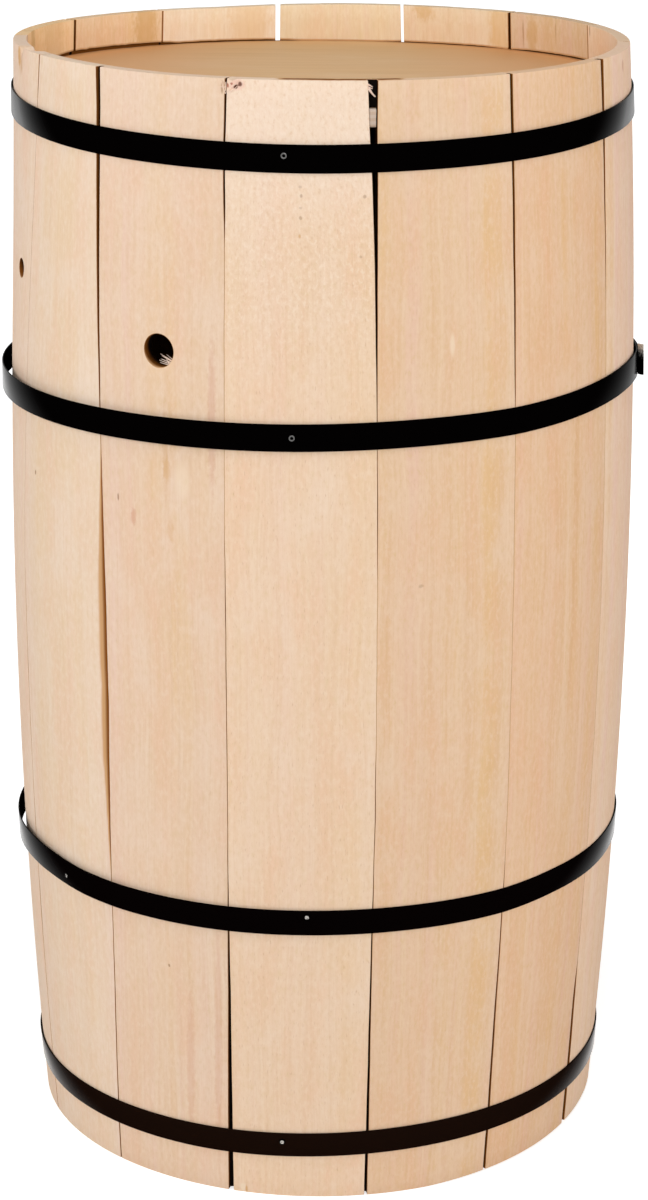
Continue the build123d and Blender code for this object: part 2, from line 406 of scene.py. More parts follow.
def cut_cells(bm, index, half_width, bottom, top):
    """Cuts the faces of a flat board into the cells that let it bend."""
    columns = round(2 * half_width / stave_cell_width)
    across_cuts = [half_width * (2 * step / columns - 1) for step in range(1, columns)]
    for inset in edge_cells:
        across_cuts += [inset - half_width, half_width - inset]
    if index + 1 == wane_joint:
        across_cuts += [half_width - wane_cell * step for step in wane_cell_steps]
    for across in across_cuts:
        saw(bm, (across, 0, 0), (1, 0, 0))
    rows = round((top - bottom) / stave_cell_height)
    along_cuts = [bottom + (top - bottom) * step / rows for step in range(1, rows)]
    for along in [lip_height, top_head_height + croze_top] + along_cuts:
        saw(bm, (0, 0, along), (0, 0, 1))
    floor_cuts = [floor + side * floor_cell for floor in (gap_floor, lip_floor) for side in (-1, 1)]
    for depth in floor_cuts + [stave_thickness - inner_cell]:
        saw(bm, (0, depth, 0), (0, 1, 0))


def board_stain_and_shade(joint, inset, depth, along):
    """Stain and painted shade of a board at an inset from the side at a joint, a depth and a height."""
    stain = round_stain * max(0, 1 - inset / stave_edge_round) if depth < round_stain_depth else 0
    # A joint's side is stained brown at its mouth and blackened deeper in as painted shade, which eases off
    # at the inner face; the open joints get little of either
    if inset < touching:
        lost = joint_shade_loss * fade(depth, *joint_shade_fall)
        stain = joint_stain + fade(depth, *joint_shade_rise) - lost
        if joint in through_joints:
            stain *= through_stain_and_shade_share
    above = along - top_head_height
    inside = stave_thickness - inner_skin
    # Painted shade in the upper croze and on its lip
    if croze_floor - touching < depth < inside and abs(above) < croze_half_height + touching:
        stain = max(stain, croze_painted_shade)
    if depth > inside and abs(above - croze_half_height) < touching:
        stain = max(stain, croze_lip_painted_shade)
    # Painted shade on the inside between the heads
    if depth > stave_thickness - touching and bottom_head_height < along < top_head_height:
        stain = max(stain, inside_painted_shade)
    return stain


def waney_edge(inset, depth, along):
    """How far the waney edge falls away at an inset from it, a depth and a height, and its bark's stain."""
    swell = wane_swell(along) * (1 + wane_ripple_share * noise.noise((0, 0, wane_ripple_rate * along)))
    near = max(0, 1 - inset / (wane_width * max(swell, wane_least_share)))
    drop = wane_drop * swell * near * max(0, 1 - depth / stave_thickness)
    bark = bark_stain * fade(near, *bark_reach) + bark_edge_stain * fade(near, *bark_edge_reach)
    return drop, bark * fade(swell, 0, bark_start)


def croze_shift(azimuth, along):
    """How far the upper croze lies off its level at an azimuth in degrees and a height."""
    shift = -math.tan(top_head_tilt) * stave_radius(along) * math.cos(math.radians(azimuth))
    for start, end, gape in croze_gapes:
        if along > top_head_height and start < azimuth < end:
            run_in = fade(min(azimuth - start, end - azimuth) / (end - start), 0, croze_gape_run_in)
            ragged = croze_gape_ragged_share * noise.noise((croze_gape_rate * azimuth, 0, 0))
            shift += gape * run_in * (croze_gape_share + ragged)
    return shift


def chipped_rim(azimuth, depth):
    """How far chips drop the rim at an azimuth in degrees and a depth, and how brown they are."""
    drop, stain = 0, 0
    for middle, half_span, chip_drop, chip_depth, chip_stain in rim_chips:
        off = abs(azimuth - middle) / half_span
        if off < 1:
            near = (1 - off) * max(0, 1 - abs(depth - chip_depth) / stave_thickness)
            drop += chip_drop * near
            stain = max(stain, chip_stain * near)
    return drop, stain


def bend_board(bm, index, half_width, bottom, top):
    """Bends a flat board to its place in the barrel, and notes where its grain, ends, stains and painted
    shade are.
    """
    board_layer = bm.verts.layers.float_vector.new("board")
    stain_and_shade_layer = bm.verts.layers.float["stain"]
    end_layer = bm.verts.layers.float.new("end_grain")
    for vert in bm.verts:
        across, depth, along = vert.co
        vert[board_layer] = (across + board_spacing * index, depth, along)
        at_end = along > top - touching or along < bottom + touching
        vert[end_layer] = 1.0 if at_end else 0.0
        joint, side = (index, -1) if across < 0 else (index + 1, 1)
        inset = half_width - abs(across)
        stains_and_shade = [vert[stain_and_shade_layer], board_stain_and_shade(joint, inset, depth, along)]

        # The edge's rounding closes up where a joint is tight, and falls away where it is waney
        if inset < 2 * stave_edge_round and depth < 2 * stave_edge_round:
            depth *= 1 - tight_round_share * tightness(joint % stave_count, along)
        if joint == wane_joint and side == 1:
            drop, bark = waney_edge(inset, depth, along)
            depth += drop
            stains_and_shade.append(bark)

        share = (across + half_width) / (2 * half_width)
        left = joint_edge(index, 1, depth, along)
        right = joint_edge(index + 1, -1, depth, along)
        azimuth = left + (right - left) * share
        degrees = (math.degrees(azimuth) + 180) % 360 - 180

        # Rim and foot run in one line each, the upper croze leans with its head, and the ends are ragged
        rim = fade(along, top - top_cut_reach, top)
        along -= rim * (top_end_drop * end_share(top_drop_shares, azimuth) - barrel_height + top)
        foot = fade(-along, -bottom - bottom_cut_reach, -bottom)
        along += foot * (bottom_end_lift * end_share(bottom_lift_shares, azimuth) - bottom)
        above = along - top_head_height
        if depth > croze_floor - touching and -croze_half_height - touching < above < croze_top + touching:
            along += croze_shift(degrees, along)
        if at_end:
            across_rate, inward_rate = saw_ripple_rates
            place = (across_rate * azimuth * bilge_radius, inward_rate * depth, index)
            ripple = saw_ripple * abs(noise.noise(place))
            along += ripple if along < bilge_height else -ripple
        if rim:
            drop, chip = chipped_rim(degrees, depth)
            along -= drop * rim
            stains_and_shade.append(chip)
        # Painted shade: a dark band on the inner part of the rim's end at the front
        if at_end and along > bilge_height and depth > rim_shade_inset:
            stains_and_shade.append(rim_painted_shade * between(degrees, *rim_shade_azimuths, rim_shade_fade))
        vert[stain_and_shade_layer] = max(stains_and_shade)
        vert.co = around(azimuth, stave_radius(along) - depth + lean(azimuth, along), along)


def colour(red, green, blue):
    """A colour on screen, from 0 to 255, as the linear values that a shader takes."""
    screen = [value / 255 for value in (red, green, blue)]
    return [v / 12.92 if v <= 0.04045 else ((v + 0.055) / 1.055) ** 2.4 for v in screen] + [1.0]


def off_tone(tone, change):
    """A colour that differs from a tone on screen by a change of its red, green and blue."""
    return colour(*(part + step for part, step in zip(tone, change)))


class Socket:
    """One output of a shader node. Sums of sockets add Math nodes, and node() adds any other node."""

    def __init__(self, tree, output=None):
        self.tree = tree
        self.output = output

    def node(self, kind, settings=None, inputs=None, output=0):
        """Adds a node with its settings, then the values or links of its sockets, and gives one output."""
        made = self.tree.nodes.new(kind)
        for name, value in (settings or {}).items():
            setattr(made, name, value)
        for name, value in (inputs or {}).items():
            if isinstance(value, Socket):
                self.tree.links.new(value.output, made.inputs[name])
            else:
                made.inputs[name].default_value = value
        return Socket(self.tree, made.outputs[output])

    def maths(self, operation, first, second):
        """A Math node of two values."""
        return self.node("ShaderNodeMath", {"operation": operation}, {0: first, 1: second})

    def __add__(self, other):
        return self.maths("ADD", self, other)

    def __radd__(self, other):
        return self.maths("ADD", other, self)

    def __sub__(self, other):
        return self.maths("SUBTRACT", self, other)

    def __rsub__(self, other):
        return self.maths("SUBTRACT", other, self)

    def __mul__(self, other):
        return self.maths("MULTIPLY", self, other)

    def __rmul__(self, other):
        return self.maths("MULTIPLY", other, self)

    def attribute(self, name, output="Fac"):
        """What the mesh carries under a name."""
        return self.node("ShaderNodeAttribute", {"attribute_name": name}, output=output)

    def plain(self, tone):
        """One tone on screen all over."""
        made = self.node("ShaderNodeRGB")
        made.output.default_value = colour(*tone)
        return made

    def vector(self, operation, other):
        """A Vector Math node of this vector and another."""
        return self.node("ShaderNodeVectorMath", {"operation": operation}, {0: self, 1: other})

    def length(self):
        """How long this vector is."""
        return self.node("ShaderNodeVectorMath", {"operation": "LENGTH"}, {0: self}, output="Value")

    def axis(self, name):
        """This vector's value along X, Y or Z."""
        return self.node("ShaderNodeSeparateXYZ", {}, {"Vector": self}, output=name)

    def ramp(self, low, high):
        """Goes smoothly from 0 where this value is low to 1 where it is high."""
        limits = {"Value": self, "From Min": low, "From Max": high}
        return self.node("ShaderNodeMapRange", {"interpolation_type": "SMOOTHSTEP"}, limits)

    def grain(self, scale, detail=2.0, roughness=0.5):
        """Noise over this vector, stretched by a scale along each axis."""
        stretched = self.node("ShaderNodeMapping", {}, {"Vector": self, "Scale": scale})
        pattern = {"Vector": stretched, "Scale": 1.0, "Detail": detail, "Roughness": roughness}
        return self.node("ShaderNodeTexNoise", {}, pattern)

    def tint(self, other, share):
        """This colour mixed with another by a share of it."""
        return self.node("ShaderNodeMix", {"data_type": "RGBA"}, {0: share, 6: self, 7: other}, output=2)


def new_finish(name, **settings):
    """A material with its shader's plain settings, and a socket to build its nodes from."""
    material = bpy.data.materials.new(name)
    material.use_nodes = True
    shader = material.node_tree.nodes["Principled BSDF"]
    for socket, value in settings.items():
        shader.inputs[socket.replace("_", " ")].default_value = value
    return material, shader, Socket(material.node_tree)


def feed(shader, **sockets):
    """Links sockets to the inputs of a shader that have their names."""
    for name, socket in sockets.items():
        socket.tree.links.new(socket.output, shader.inputs[name.replace("_", " ")])


# The grain's drift across a board and its bump, and the heights over which pitted staves turn rough and pale
grain_drift = 0.012
grain_bump = 0.0005
rough_top_heights, pale_top_heights = (0.54, 0.66), (0.66, 0.75)


def stave_wood(name, tone, flecks, streaks, pits, specks):
    """Planed beech: fine grain along the board, clouds of pink and yellow, short flecks and a few specks."""
    material, shader, start = new_finish(name, Specular_IOR_Level=0.03)
    board = start.attribute("board", "Vector")
    stain = start.attribute("stain")
    ends = start.attribute("end_grain")
    along = board.axis("Z")
    drift = board.grain((30, 30, 7), 2.0) - 0.5
    sideways = start.node("ShaderNodeCombineXYZ", {}, {"X": drift * grain_drift})
    wavy = board.vector("ADD", sideways)
    fine = wavy.grain((900, 600, 14), 3.0, 0.6)
    lines = wavy.grain((380, 240, 4), 3.0, 0.6)
    bands = wavy.grain((46, 30, 0.7), 3.0, 0.55)
    narrow = wavy.grain((150, 90, 1.5), 3.0, 0.55)
    warm = wavy.grain((38, 38, 8), 4.0, 0.6)
    cloud = board.grain((30, 30, 17), 4.0, 0.6)
    mottle = board.grain((330, 330, 170), 4.0, 0.65)
    fleck = wavy.grain((1300, 900, 210), 2.0).ramp(0.60, 0.76)
    pit = board.grain((400, 400, 280), 3.0, 0.65)
    rough_top = along.ramp(*rough_top_heights) * pits
    pale_top = along.ramp(*pale_top_heights) * pits

    # How each pattern changes the tone, and where
    shade = start.plain(tone)
    for change, share in (
        ((-2, -9, -26), bands.ramp(0.5, 0.68) * streaks),
        ((2, -4, 12), bands.ramp(0.5, 0.32) * streaks),
        ((-8, -17, -25), narrow.ramp(0.52, 0.7) * (0.7 * streaks)),
        ((5, 10, 14), narrow.ramp(0.48, 0.3) * (0.7 * streaks)),
        ((1, -8, -9), warm.ramp(0.42, 0.7) * 0.8),
        ((3, 7, 13), cloud.ramp(0.42, 0.72) * 0.8),
        ((-14, -24, -36), fine.ramp(0.42, 0.75) * 0.22),
        ((-10, -18, -26), lines.ramp(0.42, 0.68) * 0.25),
        ((6, 11, 16), mottle.ramp(0.45, 0.7) * 0.5),
        ((-8, -8, -20), mottle.ramp(0.48, 0.3) * 0.5),
        ((-34, -48, -60), fleck * flecks),
        ((9, 17, 27), pale_top * (mottle * 0.6 + 0.3)),
        ((11, 20, 30), pit.ramp(0.50, 0.66) * rough_top * 0.45),
        ((-12, -18, -24), pit.ramp(0.46, 0.30) * rough_top * 0.5),
    ):
        shade = shade.tint(off_tone(tone, change), share)
    for across, up, half_width, half_length, ink, strength in specks:
        offset = board.vector("SUBTRACT", (across, 0, up))
        reach = offset.vector("MULTIPLY", (1 / half_width, 0, 1 / half_length)).length()
        ragged = reach + (mottle - 0.5) * 1.2
        shade = shade.tint(colour(*ink), ragged.ramp(1.3, 0.5) * strength)
    # Painted light: the boards' ends, which face up and catch less light, are lightened
    shade = shade.tint(off_tone(tone, (4, 5, 6)), ends * 0.6)
    # The stain attribute browns, then blackens: real stains, and painted shade in recesses, joints and holes
    shade = shade.tint(colour(208, 160, 112), stain.ramp(0, 0.5))
    shade = shade.tint(colour(128, 74, 26), stain.ramp(0.5, 1))
    shade = shade.tint(colour(14, 7, 4), stain.ramp(1, 1.7))
    height = fine * 0.4 - fleck * 0.3 + mottle * 0.25 + pit * rough_top * 4.0
    bump = start.node("ShaderNodeBump", {}, {"Strength": 0.3, "Distance": grain_bump, "Height": height})
    feed(shader, Base_Color=shade, Roughness=0.58 + 0.2 * fine, Normal=bump)
    return material


smooth_angle = math.radians(38)


def add_piece(name, bm, material, slot, *nodes):
    """Makes an object of a finished mesh, which rides on the barrel and stands for its nodes."""
    mesh = bpy.data.meshes.new(name)
    bm.to_mesh(mesh)
    bm.free()
    mesh.polygons.foreach_set("use_smooth", [True] * len(mesh.polygons))
    mesh.set_sharp_from_angle(angle=smooth_angle)
    mesh.materials.append(material)
    made = bpy.data.objects.new(name, mesh)
    bpy.context.scene.collection.objects.link(made)
    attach(made, "root")
    if nodes:
        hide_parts(*nodes)


# Tone, flecks, streaks and pits of each stave, from the front one round to the right
stave_looks = (
    ((239, 209, 179), 0.50, 0.35, 1.0),
    ((232, 198, 164), 0.25, 0.80, 0.1),
    ((232, 194, 158), 0.25, 1.00, 0.0),
    ((240, 207, 177), 0.20, 0.80, 0.0),
    ((235, 204, 172), 0.25, 0.40, 0.0),
    ((222, 190, 154), 0.20, 0.60, 0.0),
    ((236, 210, 176), 0.30, 0.50, 0.0),
    ((238, 215, 180), 0.20, 0.40, 0.0),
    ((246, 224, 195), 0.25, 0.35, 0.0),
    ((240, 206, 166), 0.20, 0.40, 0.0),
    ((246, 208, 160), 0.20, 0.50, 0.0),
    ((239, 212, 187), 0.25, 0.40, 0.0),
    ((238, 212, 186), 0.15, 0.45, 0.0),
    ((234, 204, 176), 0.25, 0.70, 0.3),
)

# Specks and streaks: stave, azimuth, height, half width, half length, colour and strength
brown, tan, honey, umber = (146, 96, 58), (214, 166, 112), (212, 164, 96), (170, 120, 76)
pale, pink, rose = (244, 222, 196), (214, 160, 134), (236, 186, 168)
rust, scorch = (170, 98, 76), (100, 58, 44)
stave_specks = (
    (0, -4.0, 0.7118, 0.0012, 0.0010, brown, 0.25),
    (0, -3.8, 0.7062, 0.0010, 0.0012, brown, 0.4),
    (0, -3.9, 0.6985, 0.0012, 0.0010, brown, 0.25),
    (0, -3.9, 0.6922, 0.0011, 0.0013, brown, 0.4),
    (0, -4.0, 0.6808, 0.0009, 0.0016, tan, 0.7),
    (0, 7.0, 0.7058, 0.0013, 0.0012, brown, 0.4),
    (0, 6.4, 0.6677, 0.0011, 0.0010, brown, 0.3),
    (0, -14.6, 0.004, 0.0026, 0.0034, pale, 0.9),
    (0, -13.9, 0.003, 0.0010, 0.0030, tan, 0.8),
    (0, -15.4, 0.7745, 0.0060, 0.0040, rose, 0.6),
    (0, -16.9, 0.7738, 0.0010, 0.0016, rust, 0.9),
    (0, -16.2, 0.7758, 0.0011, 0.0009, rust, 0.8),
    (0, -15.45, 0.7729, 0.0016, 0.0013, scorch, 1.0),
    (0, -14.65, 0.7748, 0.0014, 0.0015, scorch, 0.9),
    (0, -15.05, 0.7738, 0.0014, 0.0006, scorch, 0.6),
    (1, 17.3, 0.449, 0.0018, 0.0014, brown, 0.3),
    (1, 22.6, 0.608, 0.0020, 0.0080, pale, 0.6),
    (3, 72.0, 0.768, 0.0022, 0.0045, (206, 150, 124), 0.6),
    (4, 110.6, 0.7735, 0.0009, 0.0050, (150, 100, 60), 0.55),
    (5, 134.0, 0.764, 0.0009, 0.0080, umber, 0.5),
    (5, 124.0, 0.768, 0.0008, 0.0070, umber, 0.4),
    (5, 131.5, 0.763, 0.0060, 0.0120, (206, 160, 100), 0.5),
    (6, 159.0, 0.772, 0.0090, 0.0080, honey, 0.5),
    (6, 140.5, 0.765, 0.0100, 0.0300, (222, 176, 110), 0.5),
    (8, 196.0, 0.765, 0.0200, 0.0300, (232, 190, 130), 0.4),
    (9, 220.5, 0.765, 0.0130, 0.0300, honey, 0.6),
    (10, 250.0, 0.765, 0.0160, 0.0300, (224, 182, 130), 0.4),
    (10, 262.0, 0.768, 0.0060, 0.0200, (196, 152, 92), 0.5),
    (11, -74.5, 0.771, 0.0040, 0.0080, tan, 0.9),
    (12, -62.8, 0.494, 0.0010, 0.0018, brown, 0.7),
    (13, -27.8, 0.536, 0.0022, 0.0300, tan, 0.32),
    (13, -27.4, 0.522, 0.0034, 0.0080, tan, 0.4),
    (13, -26.6, 0.482, 0.0024, 0.0080, tan, 0.25),
    (13, -24.4, 0.516, 0.0060, 0.0120, pale, 0.4),
    (13, -34.3, 0.487, 0.0024, 0.0060, pink, 0.55),
    (13, -37.7, 0.498, 0.0007, 0.0026, brown, 0.7),
    (13, -28.5, 0.168, 0.0009, 0.0012, brown, 0.6),
    (13, -19.0, 0.560, 0.0030, 0.0500, pink, 0.4),
    (13, -17.9, 0.7720, 0.0010, 0.0038, brown, 0.5),
    (13, -24.6, 0.095, 0.0034, 0.0600, pink, 0.28),
    (13, -18.8, 0.120, 0.0030, 0.0900, pink, 0.28),
)

for index in range(stave_count):
    half_width = half_widths[index]
    bottom = bottom_end_lift * bottom_lift_shares[index]
    top = barrel_height - top_end_drop * top_drop_shares[index]
    board = plane_board(half_width, bottom, top)
    if index in bored_staves:
        drill(board, index, *bored_staves[index])
    cut_cells(board, index, half_width, bottom, top)
    bend_board(board, index, half_width, bottom, top)

    node = f"stave_{index + 1:02d}"
    specks = []
    for stave, azimuth, height, *mark in stave_specks:
        if stave == index:
            across = across_board(index, math.radians(azimuth), height)[0]
            specks.append((across + board_spacing * index, height, *mark))
    wood = stave_wood(f"{node}_beech", *stave_looks[index], specks)
    add_piece(f"{node}_board", board, wood, "stave_wood", node)

# Torn fibres: pale slivers that the saw and the drill lifted and left hanging by one end.
# They stand at two corners of the front stave and in the lower side of the tap hole.
sliver_wood = stave_wood("torn_beech", (240, 214, 194), 0.2, 0.2, 0.0, [])
sliver_sides, sliver_bends = 6, 4
sliver_tip_share = 0.4
sliver_flatness = 0.6
sliver_twist_share, sliver_twist_turn = 0.3, 3

# Azimuth, depth and height of the root, then of the tip, width at the root and how far it curls out
slivers = (
    (7.6, 0.0003, 0.7732, 8.5, 0.0008, 0.7672, 0.0034, 0.0012),
    (7.4, 0.0004, 0.7755, 8.4, 0.0012, 0.7744, 0.0024, -0.0008),
    (7.4, 0.0004, 0.7742, 8.2, 0.0012, 0.7722, 0.0022, 0.0006),
    (-17.0, 0.0004, 0.7690, -15.6, -0.0006, 0.7755, 0.0020, -0.0014),
    (-17.3, 0.0006, 0.7680, -18.2, -0.0008, 0.7752, 0.0018, 0.0012),
    (-16.4, 0.0004, 0.7695, -15.0, -0.0004, 0.7722, 0.0014, 0.0012),
    (-17.2, 0.0004, 0.7720, -18.7, -0.0002, 0.7728, 0.0016, -0.0010),
    (-16.0, 0.0006, 0.7742, -14.9, -0.0003, 0.7762, 0.0010, 0.0006),
    (-17.3, 0.0012, 0.7698, -17.2, 0.0008, 0.7752, 0.0026, 0.0003),
    (-26.6, 0.0008, 0.5950, -29.3, 0.0028, 0.5974, 0.0009, 0.0006),
    (-26.7, 0.0010, 0.5944, -28.9, 0.0030, 0.5960, 0.0011, 0.0008),
    (-26.8, 0.0008, 0.5936, -29.0, 0.0026, 0.5944, 0.0013, 0.0004),
    (-27.0, 0.0008, 0.5928, -29.4, 0.0026, 0.5933, 0.0011, 0.0006),
    (-27.2, 0.0008, 0.5920, -29.2, 0.0022, 0.5921, 0.0010, 0.0003),
    (-26.5, 0.0012, 0.5958, -28.2, 0.0036, 0.5974, 0.0008, 0.0005),
    (-27.1, 0.0010, 0.5924, -28.3, 0.0040, 0.5946, 0.0010, 0.0004),
)


def on_stave(azimuth, depth, height):
    """The point at an azimuth in degrees, a depth from the staves' outer face and a height."""
    return around(math.radians(azimuth), stave_radius(height) - depth, height)


torn = bmesh.new()
sliver_mesh = bpy.data.meshes.new("sliver")
for row, (*ends, width, curl) in enumerate(slivers):
    root, tip = on_stave(*ends[:3]), on_stave(*ends[3:])
    length = (tip - root).length
    root_radius = width / 2
    sliver = bmesh.new()
    bmesh.ops.create_cone(
        sliver,
        cap_ends=True,
        segments=sliver_sides,
        radius1=root_radius,
        radius2=sliver_tip_share * root_radius,
        depth=length,
    )
    sides = [edge for edge in sliver.edges if abs(edge.verts[0].co.z - edge.verts[1].co.z) > touching]
    bmesh.ops.subdivide_edges(sliver, edges=sides, cuts=sliver_bends, use_grid_fill=True)
    for vert in sliver.verts:
        share = vert.co.z / length + 0.5
        vert.co.y = sliver_flatness * vert.co.y + curl * share**2
        vert.co.x += sliver_twist_share * curl * math.sin(sliver_twist_turn * share + row)
    turn = (tip - root).to_track_quat("Z", "Y").to_matrix().to_4x4()
    bmesh.ops.transform(sliver, matrix=Matrix.Translation((root + tip) / 2) @ turn, verts=sliver.verts)
    sliver.to_mesh(sliver_mesh)
    sliver.free()
    torn.from_mesh(sliver_mesh)
bpy.data.meshes.remove(sliver_mesh)
for layer in ("stain", "end_grain"):
    torn.verts.layers.float.new(layer)
sliver_layer = torn.verts.layers.float_vector.new("board")
for vert in torn.verts:
    vert[sliver_layer] = vert.co
bmesh.ops.recalc_face_normals(torn, faces=torn.faces)
add_piece("torn_fibres", torn, sliver_wood, "stave_wood")

# Heads: plain round boards of sanded plywood, slipped into the crozes as the staves go up.
# Only the top one shows, a little crooked, with its edge in the widest gap of the front.
head_thickness = 0.012
head_bevel = 0.0015
head_clearance = 0.0002
head_segments = 180
head_edge_share = 0.6
veneer_pair = 0.004
# A ragged dark ring where the head meets the staves, grime and painted shade together: its start, darker
# start, end and raggedness
head_grime_and_shade_start, head_dark_start, head_grime_and_shade_end = 0.1900, 0.1995, 0.2030
head_grime_and_shade_ragged = 0.006
head_tan_reach = (0.03, 0.15)
head_grain_bump = 0.0003

head_ply, head_shader, head_start = new_finish("sanded_ply", Roughness=0.6, Specular_IOR_Level=0.3)
place = head_start.attribute("head", "Vector")
reach = place.vector("MULTIPLY", (1, 1, 0)).length()
rim = head_start.attribute("rim")
head_grain = place.grain((7, 300, 40), 4.0, 0.6)
head_patch = place.grain((10, 16, 9), 4.0)
head_grime_and_shade = reach + (place.grain((70, 70, 70), 3.0) - 0.5) * head_grime_and_shade_ragged
off_middle = head_start.maths("ABSOLUTE", place.axis("X"), 0)
veneers = head_start.maths("SINE", place.axis("Z") * (2 * math.pi / veneer_pair), 0).ramp(-0.3, 0.3)

head_base = head_start.plain((222, 178, 124))
# The ply's edge is paler in its veneers, and brightened further with painted light
edge_colour_with_painted_light = head_base.tint(colour(250, 226, 206), veneers * 0.3 + 0.7)
head_colour = head_base.tint(colour(190, 140, 88), head_grain.ramp(0.42, 0.8) * 0.45)
head_colour = head_colour.tint(colour(226, 190, 146), head_patch.ramp(0.45, 0.75) * 0.5)
head_colour = head_colour.tint(colour(220, 164, 108), off_middle.ramp(*head_tan_reach))
# Grime and painted shade in a ragged ring along the head's edge
head_colour = head_colour.tint(colour(150, 96, 44), head_grime_and_shade.ramp(head_grime_and_shade_start, head_grime_and_shade_end) * 0.6)
head_colour = head_colour.tint(colour(92, 56, 24), head_grime_and_shade.ramp(head_dark_start, head_grime_and_shade_end) * 0.8)
head_colour = head_colour.tint(edge_colour_with_painted_light, rim.ramp(0.3, 0.7))
head_bump = head_start.node(
    "ShaderNodeBump", {}, {"Strength": 0.15, "Distance": head_grain_bump, "Height": head_grain}
)
feed(head_shader, Base_Color=head_colour, Normal=head_bump)

for node, height, tilt in (
    ("top_head", top_head_height, top_head_tilt),
    ("bottom_head", bottom_head_height, 0),
):
    radius = stave_radius(height) - stave_thickness + croze_depth - head_clearance
    disc = bmesh.new()
    bmesh.ops.create_circle(disc, cap_ends=True, radius=radius, segments=head_segments)
    thicken(disc, disc.faces[:], (0, 0, head_thickness))
    bmesh.ops.translate(disc, verts=disc.verts, vec=(0, 0, -head_thickness / 2))
    arrises = [edge for edge in disc.edges if abs(edge.verts[0].co.z - edge.verts[1].co.z) < touching]
    round_edges(disc, arrises, head_bevel, segments=3)
    rim_layer = disc.verts.layers.float.new("rim")
    place_layer = disc.verts.layers.float_vector.new("head")
    for vert in disc.verts:
        vert[place_layer] = vert.co
        vert[rim_layer] = 1.0 if vert.co.xy.length > radius - head_edge_share * head_bevel else 0.0
    seat = Matrix.Translation((0, 0, height)) @ Matrix.Rotation(tilt, 4, "X")
    bmesh.ops.transform(disc, matrix=seat, verts=disc.verts)
    add_piece(f"{node}_board", disc, head_ply, "head_wood", node)

# Hoops: flat steel strip, flared to the slope of the staves, lapped on itself and riveted.
# They are painted satin black before they are driven on, and hang loose on one side where they are slack.
hoop_width = 0.018
hoop_thickness = 0.001
hoop_clearance = 0.00015
hoop_edge_round = 0.00018
hoop_arris_angle = math.radians(60)
hoop_steps = 150
lap_gap = 0.00015
lap_rise_angle = math.radians(18)
lap_rise_steps, lap_steps = 18, 10

# Name, height, slack, contact azimuth, degrees of rise to the back and right, lap azimuth and lap angle
hoops = (
    ("top_hoop", barrel_height - 0.0393, 0.0005, 180, 2.5, 0.35, 122, 27),
    ("upper_bilge_hoop", bilge_height + 0.1304, 0.0042, 31, -0.7, 1.1, 121, 36),
    ("lower_bilge_hoop", bilge_height - 0.2082, 0.0025, 42, -0.8, 0.40, 178, 27),
    ("bottom_hoop", 0.0403, 0.0003, -90, -0.5, 1.15, 190, 27),
)

# The hoop whose lap has its end bent out and bare, and the one that dips from the sides to the back
bent_hoop, bent_angle, bent_radius, bent_rise = "upper_bilge_hoop", math.radians(58), 0.008, 0.004
bent_steps, bent_wear = 8, 0.62
dipped_hoop, hoop_dip, hoop_dip_azimuths = "top_hoop", 0.011, (116, 158)

# Kinks, as azimuth and how far the strip lies above its plane there, and a slight wave in every hoop
hoop_kinks = {
    "upper_bilge_hoop": (
        (36, 0), (48, 0.0014), (60, 0.0031), (70, 0.0042), (78, 0.0040), (86, 0.0014), (104, 0),
    ),
    "lower_bilge_hoop": (
        (-100, 0), (-82, 0.0007), (-67, 0.0028), (-58, 0.0026), (-48, 0.0007), (-38, 0),
        (36, 0), (48, 0.0016), (62, 0.0018), (71, 0.0026), (82, 0.0032), (120, 0.0020), (170, 0),
    ),
}
hoop_wave, hoop_wave_rate = 0.0005, 0.03


def facing(azimuth):
    """Turns X outward at an azimuth from the front, in degrees."""
    return Matrix.Rotation(math.radians(azimuth - 90), 4, "Z")


def hoop_seat(height, slack, contact, rise_back, rise_right):
    """The middle of a hoop, tilted as it sits and moved off its contact by its slack."""
    away = facing(contact) @ Vector((-slack, 0, height))
    back = Matrix.Rotation(math.radians(rise_back), 4, "X")
    right = Matrix.Rotation(math.radians(-rise_right), 4, "Y")
    return Matrix.Translation(away) @ back @ right


# How far to the right of the middle a dulled hoop's shine starts and ends its fall
dulling_reach = (0.0, 0.2)


def black_paint(name, worn, gloss=1.0, onset=2, most=1.0, dulling=0.0, base=(3, 2, 2)):
    """Satin black paint on steel, worn to bare metal where the wear attribute says so.
    It shines at a glance by its gloss, with an onset and a most, and is dulled towards the right."""
    material, shader, start = new_finish(name, Specular_IOR_Level=0.0, Coat_Roughness=0.18)
    place = start.node("ShaderNodeTexCoord", output="Object")
    wear = start.attribute("wear")
    matt = start.attribute("matt")
    cloud = place.grain((60, 60, 60), 4.0)
    scuff = place.grain((500, 500, 1000), 2.0).ramp(0.62, 0.8)
    bare = (wear + (place.grain((900, 900, 900), 2.0) - 0.5) * 0.9 * wear).ramp(0.35, 0.6)
    shade = start.plain(base).tint(colour(30, 20, 14), scuff * 0.12).tint(colour(*worn), bare)
    glance = start.node("ShaderNodeLayerWeight", {}, {"Blend": 0.5}, output="Facing")
    glance = start.node("ShaderNodeMapRange", {}, {"Value": glance, "From Min": 0.5, "From Max": 0.95})
    dulled = (1 - dulling * place.axis("X").ramp(*dulling_reach)) * gloss
    shine = start.maths("MINIMUM", start.maths("POWER", glance, onset) * dulled, most) * (1 - matt)
    feed(shader, Base_Color=shade, Roughness=0.24 + 0.14 * cloud, Metallic=bare * 0.5, Coat_Weight=shine)
    return material


bare_steel = (215, 213, 206)
hoop_paints = {
    "top_hoop": black_paint("glossy_black_paint", bare_steel, 1.6, onset=2.2, most=0.55),
    "upper_bilge_hoop": black_paint("dulled_black_paint", bare_steel, 0.85, dulling=0.5),
    "lower_bilge_hoop": black_paint("satin_black_paint", bare_steel, 1.0, base=(6, 3, 3)),
    # The bottom hoop's black is tinted brown, a painted reflection
    "bottom_hoop": black_paint("black_paint_with_painted_reflection", bare_steel, 0.9, base=(24, 13, 8)),
}

